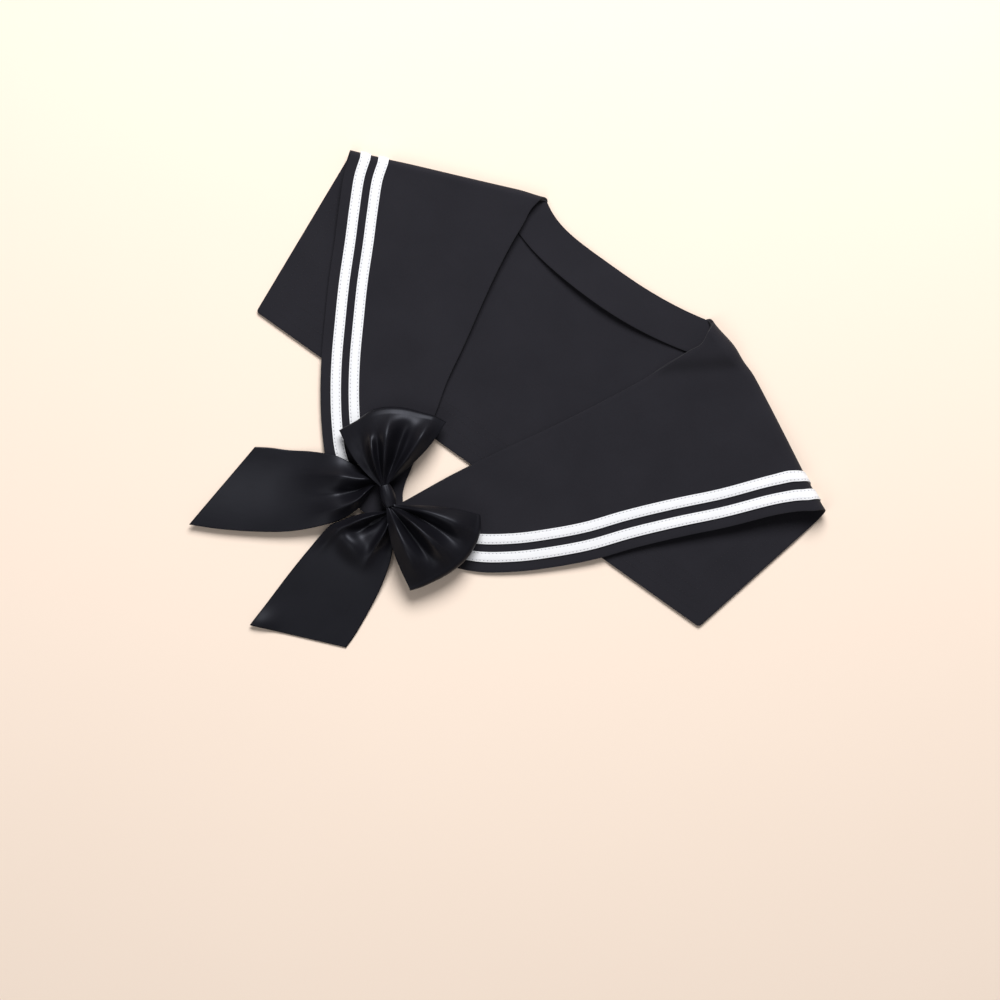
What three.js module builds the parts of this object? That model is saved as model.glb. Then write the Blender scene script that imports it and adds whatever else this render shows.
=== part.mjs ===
// A detachable sailor collar lying on a table, front side up, with its ready-tied satin bow.
// Millimetres, +Z up. X runs across the back flap and Y points from its hem to the neck.
import * as THREE from "three";

// Cloth, tape and gaps
const clothThickness = 1.2; // two layers of the collar's twill, sewn and turned
const bandThickness = 1.2;
const tapeThickness = 1.0;
const satinThickness = 1.0;
const gap = 0.3; // air between pieces that are sewn or lie on each other

// The back flap
const backWidth = 391; // along its bottom hem
const backDepth = 186; // from the neck corners down to that hem
const neckWidth = 146; // between the neck corners
const neckDip = 10; // how far the back neck line sags between them

// The front, seen from above, with the shoulders folded
const leftShoulderShare = 1.043; // reach of the shoulder fold at the hem, as a share of half the back's width
const rightShoulderShare = 1.12;
const frontDrop = 240; // from the neck corners down to the knot
const leftFoldHeight = 10.5; // of the lapel over the table at the shoulder
const rightFoldHeight = 16;
const rightFoldBow = 7; // how far the right shoulder fold bows out from a straight line

// The two rows of tape along the hem
const hemMargin = 7.4;
const tapeWidth = 7.4;
const tapeSpacing = 5.6;

// The neck band inside the neck line
const bandWidth = 29;
const bandLift = 4.2; // how far its free edge stands off the flap in the middle
const bandSlack = 0.5; // of it from the collar elsewhere, on top of the gap
const bandReach = 0.53; // share of each lapel that it runs down

// The right lapel's valley beside the neck
const valleyRise = 4.5; // of the neck edge above the valley
const valleyWidth = 32; // from the valley up to the neck corner

// The bow
const knotAcross = -41.5; // from the middle of the neck line
const knotAlong = -frontDrop * 0.996;
const bowTurn = THREE.MathUtils.degToRad(-38); // the bow's own right-hand side against +X
const knotHeight = 9.4; // inside of the knot band, from top to bottom
const knotGirth = 8.2; // inside of the knot band, from side to side
const knotLength = 16; // of the knot band, along the bow
const leftLoopLength = 66;
const rightLoopLength = 71;
const loopFold = 8.4; // height of a loop's open end
const loopRise = 8.5; // of a loop's top layer above the knot
const loopEdgeRise = 0.25; // share of that rise which is left where a loop's rim is closed
const lowerBelly = 3.5; // how far a loop's lower side edge bows out from a straight line
const upperBelly = 6.6;
const tailLength = 140;
const tailPuff = 1.8; // how far a tail's middle stands over its edges
const tailLift = 4.4; // how far the left tail's inner edge stands off the table near its end
const pleatCount = 3;

// The clasp behind the knot
const claspLength = 26;
const claspWidth = 5;
const claspThickness = 2;

// Rows across each lapel, from the shoulder fold to the tip.
// hemOut is a share of the shoulder's reach, hemDown and neckDown of the front drop, and neckOut of half
// the neck's width. The other three are shares of the fold's height: at the hem, midway and the neck edge.
const leftLapel = [
  { hemOut: 1.007, hemDown: 0.231, neckOut: 1.041, neckDown: 0.015, hemUp: 1.0, midUp: 0.84, neckUp: 0.78 },
  { hemOut: 0.984, hemDown: 0.29, neckOut: 1.055, neckDown: 0.05, hemUp: 0.86, midUp: 0.78, neckUp: 0.78 },
  { hemOut: 0.934, hemDown: 0.375, neckOut: 1.034, neckDown: 0.1, hemUp: 0.68, midUp: 0.68, neckUp: 0.75 },
  { hemOut: 0.879, hemDown: 0.463, neckOut: 1.012, neckDown: 0.175, hemUp: 0.54, midUp: 0.57, neckUp: 0.7 },
  { hemOut: 0.814, hemDown: 0.571, neckOut: 0.966, neckDown: 0.271, hemUp: 0.45, midUp: 0.48, neckUp: 0.64 },
  { hemOut: 0.745, hemDown: 0.675, neckOut: 0.895, neckDown: 0.383, hemUp: 0.41, midUp: 0.42, neckUp: 0.58 },
  { hemOut: 0.673, hemDown: 0.779, neckOut: 0.815, neckDown: 0.5, hemUp: 0.38, midUp: 0.4, neckUp: 0.53 },
  { hemOut: 0.6, hemDown: 0.871, neckOut: 0.747, neckDown: 0.613, hemUp: 0.32, midUp: 0.38, neckUp: 0.49 },
  { hemOut: 0.527, hemDown: 0.95, neckOut: 0.653, neckDown: 0.717, hemUp: 0.29, midUp: 0.34, neckUp: 0.45 },
  { hemOut: 0.462, hemDown: 1.008, neckOut: 0.586, neckDown: 0.808, hemUp: 0.27, midUp: 0.3, neckUp: 0.38 },
  { hemOut: 0.385, hemDown: 1.05, neckOut: 0.534, neckDown: 0.892, hemUp: 0.27, midUp: 0.28, neckUp: 0.31 },
  { hemOut: 0.27, hemDown: 1.075, neckOut: 0.473, neckDown: 0.958, hemUp: 0.27, midUp: 0.27, neckUp: 0.28 },
  { hemOut: 0.137, hemDown: 1.079, neckOut: 0.356, neckDown: 1.004, hemUp: 0.27, midUp: 0.27, neckUp: 0.27 },
];
const rightLapel = [
  { hemOut: 0.976, hemDown: 0.293, neckOut: 1.055, neckDown: 0.042, hemUp: 1.0, midUp: 0.6, neckUp: 0.52 },
  { hemOut: 0.933, hemDown: 0.323, neckOut: 1.059, neckDown: 0.079, hemUp: 0.94, midUp: 0.57, neckUp: 0.5 },
  { hemOut: 0.875, hemDown: 0.376, neckOut: 1.018, neckDown: 0.121, hemUp: 0.8, midUp: 0.52, neckUp: 0.48 },
  { hemOut: 0.78, hemDown: 0.479, neckOut: 0.911, neckDown: 0.2, hemUp: 0.6, midUp: 0.44, neckUp: 0.43 },
  { hemOut: 0.673, hemDown: 0.585, neckOut: 0.767, neckDown: 0.3, hemUp: 0.45, midUp: 0.36, neckUp: 0.38 },
  { hemOut: 0.571, hemDown: 0.692, neckOut: 0.596, neckDown: 0.404, hemUp: 0.34, midUp: 0.29, neckUp: 0.33 },
  { hemOut: 0.484, hemDown: 0.792, neckOut: 0.397, neckDown: 0.519, hemUp: 0.27, midUp: 0.28, neckUp: 0.33 },
  { hemOut: 0.393, hemDown: 0.879, neckOut: 0.192, neckDown: 0.629, hemUp: 0.2, midUp: 0.25, neckUp: 0.3 },
  { hemOut: 0.301, hemDown: 0.956, neckOut: -0.021, neckDown: 0.744, hemUp: 0.14, midUp: 0.17, neckUp: 0.23 },
  { hemOut: 0.196, hemDown: 1.025, neckOut: -0.185, neckDown: 0.838, hemUp: 0.09, midUp: 0.11, neckUp: 0.16 },
  { hemOut: 0.087, hemDown: 1.065, neckOut: -0.315, neckDown: 0.921, hemUp: 0.04, midUp: 0.05, neckUp: 0.07 },
  { hemOut: -0.027, hemDown: 1.075, neckOut: -0.425, neckDown: 0.99, hemUp: 0.01, midUp: 0.01, neckUp: 0.02 },
  { hemOut: -0.16, hemDown: 1.067, neckOut: -0.53, neckDown: 1.033, hemUp: 0, midUp: 0, neckUp: 0 },
];

// The flap's own corners at each shoulder fold, as shares of the same sizes as the rows above.
const leftFoldFoot = { hemOut: 1.009, hemDown: 0.248, neckOut: 0.99, neckDown: 0.012 };
const rightFoldFoot = { hemOut: 1.007, hemDown: 0.309, neckOut: 0.97, neckDown: 0.02 };

// The rim of each loop as a fan round the knot, from its lower edge to its upper one: degrees above the bow's
// own side, reach as a share of the loop's length, and the share of the loop's open height that stands there.
const loopRims = {
  left: [
    { angle: -20, reach: 0.88, open: 0.3 },
    { angle: -6, reach: 0.88, open: 0.75 },
    { angle: 8, reach: 0.95, open: 1.0 },
    { angle: 24, reach: 0.97, open: 1.0 },
    { angle: 40, reach: 0.98, open: 0.75 },
    { angle: 55, reach: 1.02, open: 0.3 },
  ],
  right: [
    { angle: -3, reach: 0.98, open: 0.3 },
    { angle: 10, reach: 0.98, open: 0.75 },
    { angle: 23, reach: 1.0, open: 1.0 },
    { angle: 36, reach: 1.02, open: 1.0 },
    { angle: 49, reach: 1.0, open: 0.75 },
    { angle: 62, reach: 0.95, open: 0.3 },
  ],
};

// Rows across each tail, from the knot to its cut end, as shares of the tail's length in the bow's own frame.
// height is a share of the tail's height at the knot, and pleat of the pleats' depth.
const tailRows = {
  left: [
    { outX: 0.062, outY: 0.021, inX: 0.062, inY: -0.021, height: 1.0, pleat: 0.3 },
    { outX: 0.104, outY: -0.01, inX: 0.064, inY: -0.055, height: 1.0, pleat: 0.45 },
    { outX: 0.145, outY: -0.06, inX: 0.03, inY: -0.1, height: 0.97, pleat: 0.8 },
    { outX: 0.19, outY: -0.108, inX: -0.018, inY: -0.165, height: 0.95, pleat: 0.9 },
    { outX: 0.24, outY: -0.157, inX: -0.044, inY: -0.245, height: 0.9, pleat: 0.85 },
    { outX: 0.28, outY: -0.207, inX: -0.051, inY: -0.345, height: 0.82, pleat: 0.65 },
    { outX: 0.33, outY: -0.31, inX: -0.035, inY: -0.515, height: 0.4, pleat: 0.4 },
    { outX: 0.37, outY: -0.42, inX: 0.01, inY: -0.682, height: 0.13, pleat: 0.2 },
    { outX: 0.41, outY: -0.51, inX: 0.078, inY: -0.866, height: 0.06, pleat: 0.06 },
    { outX: 0.436, outY: -0.584, inX: 0.149, inY: -1.02, height: 0.04, pleat: 0 },
  ],
  right: [
    { outX: 0.062, outY: 0.021, inX: 0.062, inY: -0.021, height: 1.0, pleat: 0.3 },
    { outX: 0.112, outY: 0.006, inX: 0.07, inY: -0.052, height: 1.0, pleat: 0.45 },
    { outX: 0.17, outY: -0.014, inX: 0.058, inY: -0.108, height: 0.97, pleat: 0.8 },
    { outX: 0.23, outY: -0.035, inX: 0.05, inY: -0.175, height: 0.95, pleat: 0.9 },
    { outX: 0.28, outY: -0.058, inX: 0.053, inY: -0.25, height: 0.9, pleat: 0.85 },
    { outX: 0.335, outY: -0.088, inX: 0.066, inY: -0.335, height: 0.82, pleat: 0.65 },
    { outX: 0.437, outY: -0.164, inX: 0.146, inY: -0.465, height: 0.4, pleat: 0.4 },
    { outX: 0.54, outY: -0.262, inX: 0.243, inY: -0.607, height: 0.13, pleat: 0.2 },
    { outX: 0.635, outY: -0.362, inX: 0.35, inY: -0.752, height: 0.06, pleat: 0.06 },
    { outX: 0.686, outY: -0.428, inX: 0.435, inY: -0.869, height: 0.04, pleat: 0 },
  ],
};

// How finely the curved pieces are divided
const lapelSections = 20;
const foldSections = 6;
const bowSections = 6; // of a lapel, over which the bow of its shoulder fold fades out
const sideSections = 3;
const hemSections = 10;
const bodyShares = [0.1, 0.26, 0.44, 0.62, 0.8, 0.9, 1];
const tapeEnd = { left: 4, right: 2 }; // sections at each tip that the tapes leave free
const bandShares = [0, 0.2, 0.4, 0.6, 0.8, 1];

const shoulderReach = { left: (backWidth / 2) * leftShoulderShare, right: (backWidth / 2) * rightShoulderShare };
const foldHeight = { left: leftFoldHeight, right: rightFoldHeight };
const foldBow = { left: 0, right: rightFoldBow };
const loopLength = { left: leftLoopLength, right: rightLoopLength };
const layer = clothThickness + gap; // from one sheet's middle to the next
const tableLevel = clothThickness / 2; // of a sheet that lies on the table
const hemLevel = tableLevel + tapeThickness + gap; // of the flap's hem, which lies on its tapes
const halfNeck = neckWidth / 2;
const tapeEdges = [
  hemMargin,
  hemMargin + tapeWidth,
  hemMargin + tapeWidth + tapeSpacing,
  hemMargin + 2 * tapeWidth + tapeSpacing,
];

const { lerp, clamp, smoothstep, degToRad } = THREE.MathUtils;
const point = (x, y, z = 0) => new THREE.Vector3(x, y, z);

// One value of a table's column at a share of the table, on a smooth curve through its rows.
function columnAt(rows, share, column) {
  const place = share * (rows.length - 1);
  const start = clamp(Math.floor(place), 0, rows.length - 2);
  const t = place - start;
  const value = (i) => rows[clamp(i, 0, rows.length - 1)][column];
  const [a, b, c, d] = [value(start - 1), value(start), value(start + 1), value(start + 2)];
  return b + 0.5 * t * (c - a + t * (2 * a - 5 * b + 4 * c - d + t * (3 * (b - c) + d - a)));
}

function rowAt(rows, share) {
  return Object.fromEntries(Object.keys(rows[0]).map((column) => [column, columnAt(rows, share, column)]));
}

// The unit normal at each point of a grid of points.
function gridNormals(grid, ring = false) {
  const last = grid.length - 1;
  const line = (i) => grid[ring ? (i + grid.length) % grid.length : clamp(i, 0, last)];
  return grid.map((row, i) =>
    row.map((_, j) => {
      const along = line(i + 1)[j].clone().sub(line(i - 1)[j]);
      const across = row[Math.min(j + 1, row.length - 1)].clone().sub(row[Math.max(j - 1, 0)]);
      return along.cross(across).normalize();
    }),
  );
}

function offsetGrid(grid, normals, distance) {
  return grid.map((row, i) =>
    row.map((p, j) => {
      const d = typeof distance === "function" ? distance(i, j) : distance;
      return p.clone().addScaledVector(normals[i][j], d);
    }),
  );
}

// A closed solid of even thickness about a grid of points. A ring joins its last row to its first.
function sheetSolid(grid, thickness, ring = false) {
  const normals = gridNormals(grid, ring);
  const faces = [offsetGrid(grid, normals, thickness / 2), offsetGrid(grid, normals, -thickness / 2)];
  const rows = grid.length;
  const columns = grid[0].length;
  const vertices = faces.flat(2).flatMap((p) => p.toArray());
  const at = (side, i, j) => side * rows * columns + (i % rows) * columns + j;
  const index = [];
  const quad = (a, b, c, d) => index.push(a, b, c, a, c, d);
  for (let i = 0; i < (ring ? rows : rows - 1); i++) {
    for (let j = 0; j < columns - 1; j++) {
      quad(at(0, i, j), at(0, i + 1, j), at(0, i + 1, j + 1), at(0, i, j + 1));
      quad(at(1, i, j), at(1, i, j + 1), at(1, i + 1, j + 1), at(1, i + 1, j));
    }
    quad(at(0, i, 0), at(1, i, 0), at(1, i + 1, 0), at(0, i + 1, 0));
    quad(at(0, i + 1, columns - 1), at(1, i + 1, columns - 1), at(1, i, columns - 1), at(0, i, columns - 1));
  }
  if (!ring) {
    for (let j = 0; j < columns - 1; j++) {
      quad(at(0, 0, j), at(0, 0, j + 1), at(1, 0, j + 1), at(1, 0, j));
      quad(at(1, rows - 1, j), at(1, rows - 1, j + 1), at(0, rows - 1, j + 1), at(0, rows - 1, j));
    }
  }
  const geometry = new THREE.BufferGeometry();
  geometry.setAttribute("position", new THREE.Float32BufferAttribute(vertices, 3));
  geometry.setIndex(index);
  geometry.computeVertexNormals();
  return geometry;
}

// Where a row's hem and neck edge lie, seen from above.
function lapelEdges(row, side) {
  const sign = side === "left" ? -1 : 1;
  return {
    hem: point(sign * row.hemOut * shoulderReach[side], -row.hemDown * frontDrop),
    neck: point(sign * row.neckOut * halfNeck, -row.neckDown * frontDrop),
  };
}

// How far a shoulder fold's bow moves a point of a section, by its share from the hem to the neck edge.
function bowOut(side, share, fade) {
  const peak = 0.7;
  const rise = share < peak ? share / peak : (1 - share) / (1 - peak);
  return foldBow[side] * lerp(rise, smoothstep(rise, 0, 1), 0.5) * fade;
}

// The points of one section from the hem to the neck edge: the hem, the tapes' edges, then the body.
// miter is the length along the section for each millimetre in from the hem.
function sectionPoints(hem, neck, miter, level, bow = () => 0) {
  const run = neck.clone().sub(hem);
  const length = run.length();
  const outwards = point(-run.y, run.x).multiplyScalar(Math.sign(run.x) / length);
  const fit = Math.min(1, (0.82 * length) / (tapeEdges[3] * miter));
  const steps = [0, ...tapeEdges.map((edge) => edge * miter * fit)];
  const tapesEnd = steps[4];
  steps.push(...bodyShares.map((share) => lerp(tapesEnd, length, share)));
  return steps.map((step, j) => {
    const p = hem.clone().addScaledVector(run, step / length);
    p.addScaledVector(outwards, bow(step / length));
    p.z = level(step / length, j, p);
    return p;
  });
}

function miterBetween(direction, hemDirection) {
  return 1 / Math.max(0.5, Math.abs(direction.clone().cross(hemDirection).length()));
}

// The flap lies on the table, with its hem raised by the tapes sewn under it.
function flapLevel(column) {
  const rise = clamp((tapeEdges.length + 1.5 - column) / 1.5, 0, 1);
  return lerp(tableLevel, hemLevel, rise);
}

// The rise of the right lapel's neck edge over the valley that runs from the shoulder fold to that edge.
const valleyStart = point(1.56 * halfNeck, -0.075 * frontDrop);
const valleyEnd = point(0.78 * halfNeck, -0.285 * frontDrop);
function valleyLift(p) {
  const run = valleyEnd.clone().sub(valleyStart).normalize();
  const toNeck = point(run.y, -run.x);
  const distance = point(p.x, p.y).sub(valleyStart).dot(toNeck);
  const share = clamp(distance / valleyWidth, 0, 1.2);
  return valleyRise * share * smoothstep(share, -0.1, 0.5);
}

function lapelLevel(row, side) {
  return (share, column, p) => {
    const hemPart = (1 - share) * (1 - 2 * share);
    const midPart = 4 * share * (1 - share);
    const neckPart = share * (2 * share - 1);
    const lift = row.hemUp * hemPart + row.midUp * midPart + row.neckUp * neckPart;
    return tableLevel + lift * foldHeight[side] + (side === "right" ? valleyLift(p) : 0);
  };
}

// Sections of one lapel, from its shoulder fold to its tip.
function lapelSectionsOf(rows, side) {
  const made = [];
  for (let i = 0; i < lapelSections; i++) {
    const share = i / (lapelSections - 1);
    const row = rowAt(rows, share);
    const { hem, neck } = lapelEdges(row, side);
    const step = 0.5 / (lapelSections - 1);
    const before = lapelEdges(rowAt(rows, Math.max(0, share - step)), side).hem;
    const after = lapelEdges(rowAt(rows, Math.min(1, share + step)), side).hem;
    const miter = miterBetween(neck.clone().sub(hem).normalize(), after.sub(before).normalize());
    const bow = (s) => bowOut(side, s, 1 - smoothstep(i / bowSections, 0, 1));
    made.push(sectionPoints(hem, neck, miter, lapelLevel(row, side), bow));
  }
  return made;
}

// A point of the back neck line, from the left corner at -1 to the right one at 1.
function backNeck(share) {
  const foot = share < 0 ? leftFoldFoot : rightFoldFoot;
  const cornerDown = foot.neckDown * frontDrop;
  const bend = Math.abs(share) ** 3;
  return point(share * foot.neckOut * halfNeck, -lerp(neckDip, cornerDown, bend));
}

// Sections of the back flap, from the left shoulder fold round its hem to the right one.
function flapSections() {
  const corner = { left: point(-backWidth / 2, -backDepth), right: point(backWidth / 2, -backDepth) };
  const sideEdge = (side, foot) => {
    const { hem } = lapelEdges(foot, side);
    const sign = side === "left" ? -1 : 1;
    const made = [];
    for (let i = 0; i < sideSections; i++) {
      const share = i / sideSections;
      const place = hem.clone().lerp(corner[side], share);
      const neck = backNeck(sign * lerp(1, 0.86, share));
      const edge = corner[side].clone().sub(hem).normalize();
      const miter = miterBetween(neck.clone().sub(place).normalize(), edge);
      made.push(sectionPoints(place, neck, miter, (s, j) => flapLevel(j), (s) => bowOut(side, s, 1 - share)));
    }
    return made;
  };
  const cornerSection = (side, foot) => {
    const up = lapelEdges(foot, side).hem.sub(corner[side]).normalize();
    const inwards = point(side === "left" ? 1 : -1, 0);
    const bisector = up.add(inwards).normalize();
    const miter = miterBetween(bisector, inwards);
    const neck = backNeck(side === "left" ? -0.84 : 0.84);
    const tapesEnd = corner[side].clone().addScaledVector(bisector, tapeEdges[3] * miter);
    const onTapes = [0, ...tapeEdges].map((edge) => {
      return corner[side].clone().addScaledVector(bisector, edge * miter);
    });
    const onBody = bodyShares.map((share) => tapesEnd.clone().lerp(neck, share));
    return [...onTapes, ...onBody].map((p, j) => p.setZ(flapLevel(j)));
  };
  const hemEdge = [];
  for (let i = 1; i < hemSections; i++) {
    const share = lerp(-1, 1, i / hemSections);
    const place = point((share * backWidth) / 2, -backDepth);
    const neck = backNeck(share * 0.8);
    const miter = miterBetween(neck.clone().sub(place).normalize(), point(1, 0));
    hemEdge.push(sectionPoints(place, neck, miter, (s, j) => flapLevel(j)));
  }
  return [
    ...sideEdge("left", leftFoldFoot),
    cornerSection("left", leftFoldFoot),
    ...hemEdge,
    cornerSection("right", rightFoldFoot),
    ...sideEdge("right", rightFoldFoot).reverse(),
  ];
}

// Sections round a shoulder fold, between the flap's section below and the lapel's above.
function foldSectionsOf(below, above, side) {
  const run = below.at(-1).clone().sub(below[0]).setZ(0).normalize();
  const outwards = side === "left" ? point(-run.y, run.x) : point(run.y, -run.x);
  outwards.multiplyScalar(Math.sign(outwards.y));
  const made = [];
  for (let k = 1; k < foldSections; k++) {
    const angle = (Math.PI * k) / foldSections;
    made.push(
      below.map((low, j) => {
        const high = above[j];
        const radius = (high.z - low.z) / 2;
        const p = low.clone().lerp(high, k / foldSections);
        p.z = (low.z + high.z) / 2 - radius * Math.cos(angle);
        return p.addScaledVector(outwards, radius * Math.sin(angle));
      }),
    );
  }
  return made;
}

// The whole collar as one sheet, from the left tip round the back to the right tip.
const leftSections = lapelSectionsOf(leftLapel, "left");
const rightSections = lapelSectionsOf(rightLapel, "right");
const backSections = flapSections();
const collarGrid = [
  ...leftSections.slice().reverse(),
  ...foldSectionsOf(backSections[0], leftSections[0], "left").reverse(),
  ...backSections,
  ...foldSectionsOf(backSections.at(-1), rightSections[0], "right"),
  ...rightSections,
];
const collarNormals = gridNormals(collarGrid); // they point away from the side that shows when it is worn

// A tape runs along two of the grid's lines, as far as each lapel is wide enough for both.
function tapeGrid(innerColumn) {
  const distance = clothThickness / 2 + gap + tapeThickness / 2;
  const raised = offsetGrid(collarGrid, collarNormals, -distance);
  const kept = raised.slice(tapeEnd.left, raised.length - tapeEnd.right);
  return kept.map((row) => [row[innerColumn], row[innerColumn + 1]]);
}

// The neck band follows the collar's inner side in from the neck edge.
function bandGrid() {
  const reach = Math.round(bandReach * (lapelSections - 1));
  const first = lapelSections - 1 - reach;
  const last = collarGrid.length - lapelSections + reach;
  const middle = (first + last) / 2;
  const made = [];
  for (let i = first; i <= last; i++) {
    const row = collarGrid[i];
    const neck = row.at(-1);
    const onBack = clamp(1 - Math.abs(i - middle) / (hemSections * 0.5), 0, 1);
    made.push(
      bandShares.map((share) => {
        const { place, normal } = alongSection(i, share * bandWidth);
        const lift = bandSlack * Math.min(1, 3 * share) + bandLift * smoothstep(onBack, 0, 1) * share;
        return place.addScaledVector(normal, layer + lift);
      }),
    );
  }
  return made;
}

// The point of a section at a distance from its neck edge, and the collar's normal there.
function alongSection(i, distance) {
  const row = collarGrid[i];
  let left = distance;
  for (let j = row.length - 1; j > 0; j--) {
    const length = row[j].distanceTo(row[j - 1]);
    if (left <= length || j === 1) {
      const share = Math.min(1, left / length);
      return {
        place: row[j].clone().lerp(row[j - 1], share),
        normal: collarNormals[i][j].clone().lerp(collarNormals[i][j - 1], share).normalize(),
      };
    }
    left -= length;
  }
}

// The bow is modelled in its own frame, with X to its right-hand loop, and placed by a group.
const tipLevel = tableLevel + leftLapel.at(-1).midUp * foldHeight.left; // of the left tip, on the right one
const tipWarp = 0.15; // how far it stands proud of that level
const tipStack = tipLevel + tipWarp + clothThickness / 2;
const knotFloor = tipStack + gap + claspThickness + gap; // under side of the knot band
const knotMiddle = knotFloor + satinThickness + knotHeight / 2;
const pleatDepth = 0.9;
const pleatRoom = 520; // square of the ribbon's width for each millimetre of a pleat's depth
const tailLevel = knotFloor + satinThickness + gap + satinThickness / 2 + pleatDepth;
const loopLowLevel = tailLevel + satinThickness + pleatDepth + gap + 0.9;
const loopTopLevel = knotFloor + satinThickness + knotHeight - gap - satinThickness / 2 - pleatDepth;
const tailTableLevel = satinThickness / 2;

// The height of a pleat's wave at a share of the ribbon's width, as deep as that width lets it be.
function pleatWave(across, width) {
  const room = width ** 2 / pleatRoom;
  return Math.min(1, room / pleatDepth) * Math.cos(across * pleatCount * 2 * Math.PI);
}

// The ring of ribbon that makes both loops: top layer out, round the rim, and back underneath.
function loopsGrid() {
  const outSteps = [0, 0.12, 0.28, 0.46, 0.64, 0.82, 0.95];
  const acrossSteps = 16;
  const pinch = knotGirth / 2 - gap - 0.8;
  const layerPoint = (side, out, across, top) => {
    const sign = side === "left" ? -1 : 1;
    const rim = rowAt(loopRims[side], across);
    const angle = degToRad(rim.angle);
    const open = rim.open * loopFold;
    const start = point(sign * knotLength * 0.52 * Math.min(1, out / 0.12), lerp(-pinch, pinch, across));
    const reach = rim.reach * loopLength[side] - open / 2;
    const end = point(sign * reach * Math.cos(angle), reach * Math.sin(angle));
    const share = clamp((out - 0.12) / 0.88, 0, 1);
    const belly = lerp(lowerBelly, upperBelly, across) * Math.sin(Math.PI * share ** 0.8) * (2 * across - 1);
    const p = start.lerp(end, share ** 0.9).add(point(0, belly));
    const knotLevel = top ? loopTopLevel : loopLowLevel;
    const rimLevel = loopLowLevel - 1.2 + (top ? open : 0);
    const bulge = top ? loopRise * Math.sin(Math.PI * share) * lerp(loopEdgeRise, 1, rim.open) : 0;
    const width = lerp(2 * pinch, reach, share);
    const pleat = (top ? pleatDepth : 0.5 * pleatDepth) * pleatWave(across, width);
    const fade = lerp(1, 0, smoothstep(share, 0.15, 1));
    const swell = top ? 1 + 1.6 * Math.sin(Math.PI * share) : 1;
    p.z = lerp(knotLevel, rimLevel, share) + bulge + pleat * fade * swell;
    return p;
  };
  const line = (side, out, top) =>
    Array.from({ length: acrossSteps + 1 }, (_, i) => layerPoint(side, out, i / acrossSteps, top));
  // The rim turns over in a half round between the two layers.
  const rimLines = (side) =>
    [0.25, 0.5, 0.75].map((turn) => {
      const top = line(side, 1, true);
      const low = line(side, 1, false);
      return top.map((p, i) => {
        const height = (p.z - low[i].z) / 2;
        const out = point(p.x, p.y).normalize();
        const q = p.clone().addScaledVector(out, height * Math.sin(Math.PI * turn));
        q.z = low[i].z + height + height * Math.cos(Math.PI * turn);
        return q;
      });
    });
  const half = (side, top) => [...outSteps.slice(1), 1].map((out) => line(side, out, top));
  return [
    line("right", 0, true),
    ...half("right", true),
    ...rimLines("right"),
    ...half("right", false).reverse(),
    line("right", 0, false),
    ...half("left", false),
    ...rimLines("left").reverse(),
    ...half("left", true).reverse(),
  ];
}

// The ribbon that makes both tails, through the knot from the left end to the right one.
function tailsGrid() {
  const acrossSteps = 14;
  const rowsPerTail = 13;
  const line = (side, share) => {
    const sign = side === "left" ? -1 : 1;
    const row = rowAt(tailRows[side], share);
    const outer = point(sign * row.outX, row.outY).multiplyScalar(tailLength);
    const inner = point(sign * row.inX, row.inY).multiplyScalar(tailLength);
    return Array.from({ length: acrossSteps + 1 }, (_, i) => {
      const across = i / acrossSteps;
      const p = outer.clone().lerp(inner, across);
      const spread = 1 + 1.4 * smoothstep(share, 0.05, 0.4);
      const wave = pleatWave(across, outer.distanceTo(inner));
      const puff = tailPuff * Math.sin(Math.PI * share) ** 4 * (1 - (2 * across - 1) ** 2);
      const lift = side === "left" ? tailLift * smoothstep(across, 0.1, 1) * smoothstep(share, 0.4, 0.8) : 0;
      p.z = lerp(tailTableLevel, tailLevel, row.height) + pleatDepth * spread * row.pleat * wave + puff + lift;
      return p;
    });
  };
  const shares = Array.from({ length: rowsPerTail }, (_, i) => i / (rowsPerTail - 1));
  return [...shares.map((s) => line("left", s)).reverse(), ...shares.map((s) => line("right", s))];
}

// The knot band: a short sleeve round the gathered ribbons.
function knotGrid() {
  const steps = 20;
  const squareness = 0.55;
  const lengthShares = [-0.5, -0.3, 0, 0.3, 0.5];
  const soft = (v) => Math.sign(v) * Math.abs(v) ** squareness;
  return Array.from({ length: steps }, (_, i) => {
    const angle = (2 * Math.PI * i) / steps;
    return lengthShares.map((share) => {
      const swell = 1 + 0.5 * (0.25 - share * share);
      const halfAcross = (knotGirth + satinThickness) / 2;
      const halfUp = (knotHeight + satinThickness) / 2;
      return point(
        share * knotLength,
        soft(Math.cos(angle)) * halfAcross * swell,
        knotMiddle + soft(Math.sin(angle)) * halfUp * (swell > 1 ? 1 : swell),
      );
    });
  });
}

const blackTwill = new THREE.MeshStandardMaterial({ color: 0x222227, roughness: 0.85, metalness: 0 });
const whiteTape = new THREE.MeshStandardMaterial({ color: 0xe9e9ee, roughness: 0.8, metalness: 0 });
const blackSatin = new THREE.MeshStandardMaterial({ color: 0x1b1b1f, roughness: 0.4, metalness: 0 });
const paintedMetal = new THREE.MeshStandardMaterial({ color: 0x16161a, roughness: 0.5, metalness: 0.6 });

function piece(name, geometry, material) {
  const mesh = new THREE.Mesh(geometry, material);
  mesh.name = name;
  return mesh;
}

const collar = new THREE.Group();
collar.add(
  piece("collar_cloth", sheetSolid(collarGrid, clothThickness), blackTwill),
  piece("outer_tape", sheetSolid(tapeGrid(1), tapeThickness), whiteTape),
  piece("inner_tape", sheetSolid(tapeGrid(3), tapeThickness), whiteTape),
  piece("neck_band", sheetSolid(bandGrid(), bandThickness), blackTwill),
);

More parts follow.
